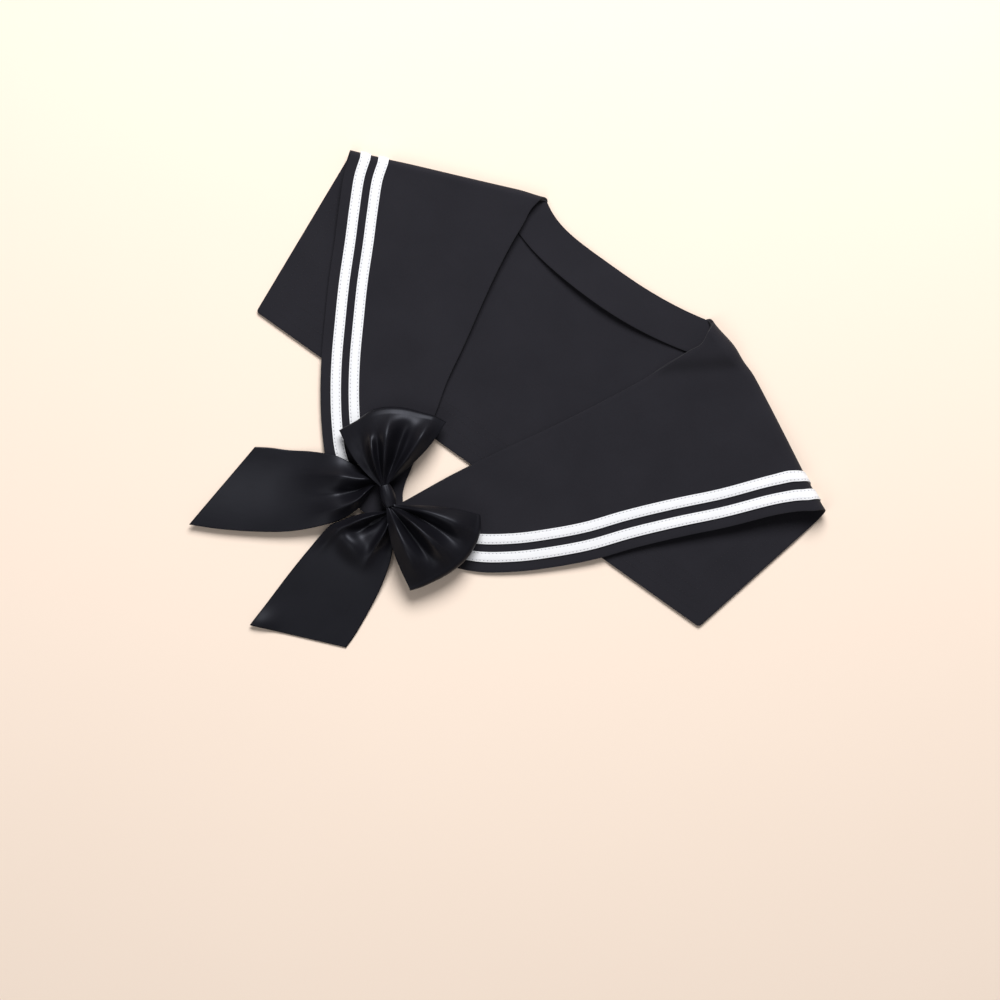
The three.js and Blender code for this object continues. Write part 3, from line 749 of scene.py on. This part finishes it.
def loopPoint(side, out, across, top):
    sign = -1 if side == "left" else 1
    angle, reachShare, openShare = rowAt(bow["rims"][side], across)
    angle = math.radians(angle)
    open_ = openShare * bow["loopFold"]
    pinch = bow["knotGirth"] / 2 - bow["knotWall"] - gap
    start = Vector((
        sign * bow["knotLength"] * 0.52 * min(1, out / bow["loopStart"]),
        lerp(-pinch, pinch, across),
        0,
    ))
    reach = reachShare * bow["loopLength"][side] - open_ / 2
    end = Vector((sign * reach * math.cos(angle), reach * math.sin(angle), 0))
    share = clamp((out - bow["loopStart"]) / (1 - bow["loopStart"]))
    belly = lerp(bow["loopBelly"]["low"], bow["loopBelly"]["high"], across) * (2 * across - 1)
    belly *= math.sin(math.pi * share ** 0.8)
    p = start.lerp(end, share ** 0.9) + Vector((0, belly, 0))
    knotLevel = loopTopLevel if top else loopLowLevel
    lowRim = loopLowLevel - bow["loopLowering"]
    rimLevel = lowRim + (open_ if top else 0)
    bulge = bow["loopRise"] * math.sin(math.pi * share) * lerp(bow["loopEdgeRise"], 1, openShare)
    width = lerp(2 * pinch, reach, share)
    crease = creaseLift(side + "Loop", across, share, width)
    lowCrease = crease * bow["lowLayerFolds"]
    p.z = lerp(knotLevel, rimLevel, share) + (bulge + crease if top else lowCrease)
    if top:
        p.z = softMax(p.z, lerp(loopLowLevel, lowRim, share) + lowCrease + bow["loopGap"])
    return p


def loopPoints():
    outSteps, acrossSteps, rimSteps = 40, 84, 7

    def line(side, out, top):
        return [loopPoint(side, out, i / acrossSteps, top) for i in range(acrossSteps + 1)]

    def rim(side):
        top, low = line(side, 1, True), line(side, 1, False)
        made = []
        for k in range(1, rimSteps):
            turn = math.pi * k / rimSteps
            row = []
            for high, below in zip(top, low):
                half = (high.z - below.z) / 2
                out = Vector((high.x, high.y, 0)).normalized()
                q = high + out * half * math.sin(turn)
                q.z = below.z + half + half * math.cos(turn)
                row.append(q)
            made.append(row)
        return made

    def half(side, top):
        return [line(side, (k + 1) / outSteps, top) for k in range(outSteps)]

    return (
        [line("right", 0, True)]
        + half("right", True)
        + rim("right")
        + half("right", False)[::-1]
        + [line("right", 0, False)]
        + half("left", False)
        + rim("left")[::-1]
        + half("left", True)[::-1]
    )


def tailPoints():
    acrossSteps, rowsPerTail = 72, 84
    onTable = bow["satin"] / 2

    def line(side, share):
        sign = -1 if side == "left" else 1
        outX, outY, inX, inY, height = rowAt(bow["tails"][side], share)
        outer = Vector((sign * outX, outY, 0)) * bow["tailLength"]
        inner = Vector((sign * inX, inY, 0)) * bow["tailLength"]
        leaving = smoothStep(share, *bow["tailLeavesTips"])
        beneath = lerp(tipLevel + bow["tailRoom"], onTable, leaving)
        row = []
        for i in range(acrossSteps + 1):
            across = i / acrossSteps
            p = outer.lerp(inner, across)
            level = lerp(onTable, tailLevel, height)
            level += creaseLift(side + "Tail", across, share, (outer - inner).length)
            for start, middle, rise, half, halfAcross, lean in bow["swells"][side + "Tail"]:
                offAlong = (share - start - lean * (across - 0.5)) / half
                offAcross = (across - middle) / halfAcross
                level += rise * math.exp(-offAlong ** 2 - offAcross ** 2)
            level += bow["tailPuff"] * math.sin(math.pi * share) ** 4 * (1 - (2 * across - 1) ** 2)
            if side == "left":  # its inner edge is propped up
                level += bow["tailLift"] * smoothStep(across, 0.1, 1) * smoothStep(share, 0.4, 0.8)
            p.z = softMax(level, beneath, 0.0003)
            row.append(p)
        return row

    shares = [i / (rowsPerTail - 1) for i in range(rowsPerTail)]
    return [line("left", s) for s in shares][::-1] + [line("right", s) for s in shares]


def knotPoints():
    steps, lengthSteps = 48, 16
    middle, less = bow["knotSwell"]
    broad, fine = bow["knotCreases"]

    def soft(v):
        return math.copysign(abs(v) ** 0.96, v)

    made = []
    for i in range(steps):
        angle = 2 * math.pi * i / steps
        row = []
        for k in range(lengthSteps + 1):
            share = k / lengthSteps - 0.5
            swell = middle - less * share * share
            crease = broad * math.sin(5 * angle + 4 * share)
            crease += fine * math.sin(13 * angle - 3 * share)
            halfAcross = (bow["knotGirth"] / 2 + bow["knotWall"]) * swell + crease
            halfUp = (bow["knotHeight"] + satinRoom) / 2 * lerp(1, swell, 0.5) + crease
            row.append(Vector((
                share * bow["knotLength"],
                soft(math.cos(angle)) * halfAcross,
                knotMiddle + soft(math.sin(angle)) * halfUp,
            )))
        made.append(row)
    return made


satin, ribbonWidth = bow["satin"], bow["ribbonWidth"]
bowLoops = clothSheet("bowLoops", inPlace(loopPoints()), satin, 0, ring=True, uvWidth=ribbonWidth)
bowTails = clothSheet("bowTails", inPlace(tailPoints()), satin, 0, uvWidth=ribbonWidth)
knotBand = clothSheet("knotBand", inPlace(knotPoints()), bow["knotWall"], bow["knotRim"], ring=True)
print("bow made")


# Finishes

class Amount:  # a socket's value, so that shader maths reads as plain sums
    def __init__(self, finish, socket):
        self.finish = finish
        self.socket = socket

    def sum(self, operation, *values):
        made = self.finish.node("Math", {"operation": operation}, dict(enumerate(values)))
        return Amount(self.finish, made.outputs[0])

    def __add__(self, other):
        return self.sum("ADD", self, other)

    def __radd__(self, other):
        return self.sum("ADD", other, self)

    def __sub__(self, other):
        return self.sum("SUBTRACT", self, other)

    def __rsub__(self, other):
        return self.sum("SUBTRACT", other, self)

    def __mul__(self, other):
        return self.sum("MULTIPLY", self, other)

    def __rmul__(self, other):
        return self.sum("MULTIPLY", other, self)

    def __truediv__(self, other):
        return self.sum("DIVIDE", self, other)

    def apply(self, operation):
        return self.sum(operation, self)


class Finish:
    def __init__(self, name):
        self.material = bpy.data.materials.new(name)
        self.material.use_nodes = True
        self.tree = self.material.node_tree
        self.tree.nodes.clear()

    def node(self, kind, settings=None, values=None):
        made = self.tree.nodes.new("ShaderNode" + kind)
        for key, value in (settings or {}).items():
            if key == "stops":
                ramp = made.color_ramp
                while len(ramp.elements) < len(value):
                    ramp.elements.new(0.5)
                for element, (place, colour) in zip(ramp.elements, value):
                    element.position = place
                    element.color = colour
            else:
                setattr(made, key, value)
        for key, value in (values or {}).items():
            if isinstance(value, Amount):
                self.tree.links.new(value.socket, made.inputs[key])
            else:
                made.inputs[key].default_value = value
        return made

    def amount(self, kind, output, settings=None, values=None):
        return Amount(self, self.node(kind, settings, values).outputs[output])

    def shade(self, values):
        shader = self.node("BsdfPrincipled", None, values)
        out = self.node("OutputMaterial")
        self.tree.links.new(shader.outputs[0], out.inputs[0])
        return self.material

    def onObject(self):
        return self.amount("TexCoord", "Object")

    def onCloth(self):
        return self.amount("UVMap", "UV", {"uv_map": "cloth"})

    def noise(self, place, scale, detail=2.0, roughness=0.5):
        return self.amount("TexNoise", "Fac", None, {
            "Vector": place, "Scale": scale, "Detail": detail, "Roughness": roughness,
        })

    def step(self, value, far, near):  # 1 up to near, then down to 0 at far
        return self.amount("MapRange", 0, {"interpolation_type": "SMOOTHSTEP"}, {
            "Value": value, "From Min": far, "From Max": near, "To Min": 0.0, "To Max": 1.0,
        })

    def blend(self, factor, first, second):
        return self.amount("Mix", 2, {"data_type": "RGBA"}, {0: factor, 6: first, 7: second})

    def bump(self, height, strength, distance):
        return self.amount("Bump", 0, None, {
            "Height": height, "Strength": strength, "Distance": distance,
        })


def twillFinish(name, dark, light):
    finish = Finish(name)
    place = finish.onObject()
    parts = finish.node("SeparateXYZ", None, {0: place})
    x, y = Amount(finish, parts.outputs[0]), Amount(finish, parts.outputs[1])
    ribPitch, ribSlope = 0.0009, 1.7
    wobble = finish.noise(place, 400, 2)
    diagonal = (x + y * ribSlope) * (2 * math.pi / ribPitch) + wobble * 1.5
    rib = diagonal.apply("SINE") * 0.5 + 0.5
    broad = finish.noise(place, 26, 3)
    fine = finish.noise(place, 900, 2)
    tone = broad * 0.5 + rib * 0.25 + fine * 0.35
    colour = finish.blend(tone, dark, light)
    height = rib * 0.7 + fine * 0.5
    return finish.shade({
        "Base Color": colour,
        "Roughness": 0.82 + fine * 0.1,
        "Normal": finish.bump(height, 0.35, 0.0002),
        "Sheen Weight": 0.06,
        "Sheen Roughness": 0.5,
        "Specular IOR Level": 0.1,
    })


def tapeFinish(name):
    finish = Finish(name)
    parts = finish.node("SeparateXYZ", None, {0: finish.onCloth()})
    u, v = Amount(finish, parts.outputs[0]), Amount(finish, parts.outputs[1])
    ribPitch, threadPitch = 0.0007, 0.00055
    rib = (u * (2 * math.pi / ribPitch)).apply("SINE") * 0.5 + 0.5
    thread = (v * (2 * math.pi / threadPitch)).apply("SINE") * 0.5 + 0.5
    fine = finish.noise(finish.onObject(), 700, 2)
    broad = finish.noise(finish.onObject(), 45, 3)
    # needle holes between the stitches, and the dent that each seam draws: both sink in the bump, and
    # both are darkened in the colour as painted shade
    fromHole = ((u / stitch["pitch"]).apply("FRACT") - 0.5).apply("ABSOLUTE") * stitch["pitch"]
    atHole = stitch["pitch"] / 2 - fromHole
    seamFromMiddle = tape["width"] / 2 - stitch["inset"]
    toSeam = ((v - tape["width"] / 2).apply("ABSOLUTE") - seamFromMiddle).apply("ABSOLUTE")
    spread = (atHole * atHole + toSeam * toSeam).apply("SQRT")
    needleHoleAndShade = finish.step(spread, 0.00045, 0.00015)
    seamDentAndShade = finish.step(toSeam, 0.0009, 0.0001)
    tone = rib * 0.3 + thread * 0.2 + fine * 0.25 + broad * 0.35
    weave = finish.blend(tone, (0.66, 0.665, 0.69, 1), (0.87, 0.875, 0.90, 1))
    # painted shade: the colour is darker along each seam's dent and darker still in the needle holes
    shaded = finish.blend(seamDentAndShade * 0.35, weave, (0.55, 0.56, 0.60, 1))
    colour = finish.blend(needleHoleAndShade * 0.85, shaded, (0.16, 0.165, 0.19, 1))
    height = rib * 0.35 + thread * 0.25 + fine * 0.2 - seamDentAndShade * 1.2 - needleHoleAndShade * 1.5
    return finish.shade({
        "Base Color": colour,
        "Roughness": 0.75 + fine * 0.12,
        "Normal": finish.bump(height, 0.6, 0.0002),
        "Sheen Weight": 0.15,
        "Specular IOR Level": 0.3,
    })


def threadFinish(name, dark, light, sheen=0.2):
    finish = Finish(name)
    fine = finish.noise(finish.onObject(), 2500, 1)
    return finish.shade({
        "Base Color": finish.blend(fine, dark, light),
        "Roughness": 0.6 + fine * 0.15,
        "Normal": finish.bump(fine, 0.3, 0.0001),
        "Sheen Weight": sheen,
        "Specular IOR Level": 0.2,
    })


def satinFinish(name):
    finish = Finish(name)
    place = finish.onCloth()
    parts = finish.node("SeparateXYZ", None, {0: place})
    u, v = Amount(finish, parts.outputs[0]), Amount(finish, parts.outputs[1])
    streaks = finish.amount("CombineXYZ", 0, None, {0: u * 60, 1: v * 900, 2: 0.0})
    streak = finish.noise(streaks, 1, 3)
    fine = finish.noise(finish.onObject(), 1200, 2)
    broad = finish.noise(finish.onObject(), 45, 3)
    tone = streak * 0.4 + fine * 0.2 + broad * 0.4
    colour = finish.blend(tone, (0.0032, 0.0031, 0.0044, 1), (0.0078, 0.0076, 0.0106, 1))
    return finish.shade({
        "Base Color": colour,
        "Roughness": 0.36 + streak * 0.08 + broad * 0.06,
        "Normal": finish.bump(streak * 0.6 + fine * 0.3 + broad, 0.12, 0.0002),
        "Specular IOR Level": 0.2,
        "Specular Tint": (0.84, 0.87, 1.0, 1),
    })


def claspFinish(name):
    finish = Finish(name)
    fine = finish.noise(finish.onObject(), 900, 3)
    worn = finish.noise(finish.onObject(), 160, 4)
    return finish.shade({
        "Base Color": finish.blend(worn, (0.008, 0.008, 0.010, 1), (0.02, 0.02, 0.022, 1)),
        "Roughness": 0.35 + worn * 0.25,
        "Metallic": 0.3,
        "Normal": finish.bump(fine, 0.2, 0.0001),
    })


def floorFinish(name):
    finish = Finish(name)
    grain = finish.noise(finish.onObject(), 3, 3)
    return finish.shade({
        "Base Color": finish.blend(grain, (0.84, 0.70, 0.59, 1), (0.87, 0.73, 0.62, 1)),
        "Roughness": 0.9,
        "Specular IOR Level": 0.2,
    })


blackTwill = twillFinish("black twill", (0.0088, 0.0084, 0.0114, 1), (0.0205, 0.0198, 0.0255, 1))
whiteTape = tapeFinish("white tape")
whiteThread = threadFinish("white thread", (0.66, 0.66, 0.69, 1), (0.88, 0.88, 0.9, 1))
blackThread = threadFinish("black thread", (0.009, 0.009, 0.0115, 1), (0.016, 0.0155, 0.019, 1), 0.1)
blackSatin = satinFinish("black satin")
claspPaint = claspFinish("clasp paint")
print("finishes made")


def dress(piece, finish, slot, *nodes):
    piece.data.materials.clear()
    piece.data.materials.append(finish)
    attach(piece, "root")
    if nodes:
        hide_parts(*nodes)


dress(collarCloth, blackTwill, "collar_cloth", "collar_cloth")
dress(outerTape, whiteTape, "tape", "outer_tape")
dress(innerTape, whiteTape, "tape", "inner_tape")
dress(neckBand, blackTwill, "collar_cloth", "neck_band")
dress(outerStitches, whiteThread, "tape")
dress(innerStitches, whiteThread, "tape")
dress(outerBobbin, blackThread, "collar_cloth")
dress(innerBobbin, blackThread, "collar_cloth")
dress(bowLoops, blackSatin, "satin", "bow_loops")
dress(bowTails, blackSatin, "satin", "bow_tails")
dress(knotBand, blackSatin, "satin", "knot_band")
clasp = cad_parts["clasp_bar"]
clasp.data.materials.clear()
clasp.data.materials.append(claspPaint)


# Floor, light and camera
studio = {
    "floorSize": 3,
    "floorLevel": -0.0003,  # under the tapes' stitches
    "turn": math.radians(35.476),  # of the camera, about the line that it looks along
    "aim": Vector((0.01916, -0.00894, 0)),
    "cameraHeight": 3,
    "lens": 150,
    "filmWidth": 36,
    "worldColour": (1.0, 0.98, 0.96, 1),
    "worldStrength": 0.18,
}
bm = bmesh.new()
bmesh.ops.create_grid(bm, x_segments=1, y_segments=1, size=studio["floorSize"])
bmesh.ops.translate(bm, verts=bm.verts, vec=(0, 0, studio["floorLevel"]))
floor = pieceFrom(bm, "floor", False)
floor.data.materials.append(floorFinish("pale floor"))

aim = studio["aim"]
photoUp = Vector((-math.sin(studio["turn"]), math.cos(studio["turn"]), 0))
photoRight = Vector((math.cos(studio["turn"]), math.sin(studio["turn"]), 0))


def softLight(name, right, up, height, size, power):
    light = bpy.data.lights.new(name, "AREA")
    light.shape = "DISK"
    light.size = size
    light.energy = power
    lamp = bpy.data.objects.new(name, light)
    lamp.location = aim + photoUp * up + photoRight * right + Vector((0, 0, height))
    lamp.rotation_euler = (aim - lamp.location).to_track_quat("-Z", "Y").to_euler()
    bpy.context.scene.collection.objects.link(lamp)


softLight("key light", right=0.2, up=1.4, height=1.65, size=1.2, power=62)
softLight("fill light", right=-0.9, up=-1.0, height=1.9, size=1.6, power=10)
world = bpy.data.worlds.new("studio")
world.use_nodes = True
background = world.node_tree.nodes["Background"]
background.inputs["Color"].default_value = studio["worldColour"]
background.inputs["Strength"].default_value = studio["worldStrength"]
bpy.context.scene.world = world
bpy.context.scene.view_settings.view_transform = "Standard"

lens = bpy.data.cameras.new("camera")
lens.lens = studio["lens"]
lens.sensor_width = studio["filmWidth"]
camera = bpy.data.objects.new("camera", lens)
camera.location = aim + Vector((0, 0, studio["cameraHeight"]))
camera.rotation_euler = (0, 0, studio["turn"])
bpy.context.scene.collection.objects.link(camera)
bpy.context.scene.camera = camera
print("scene set")
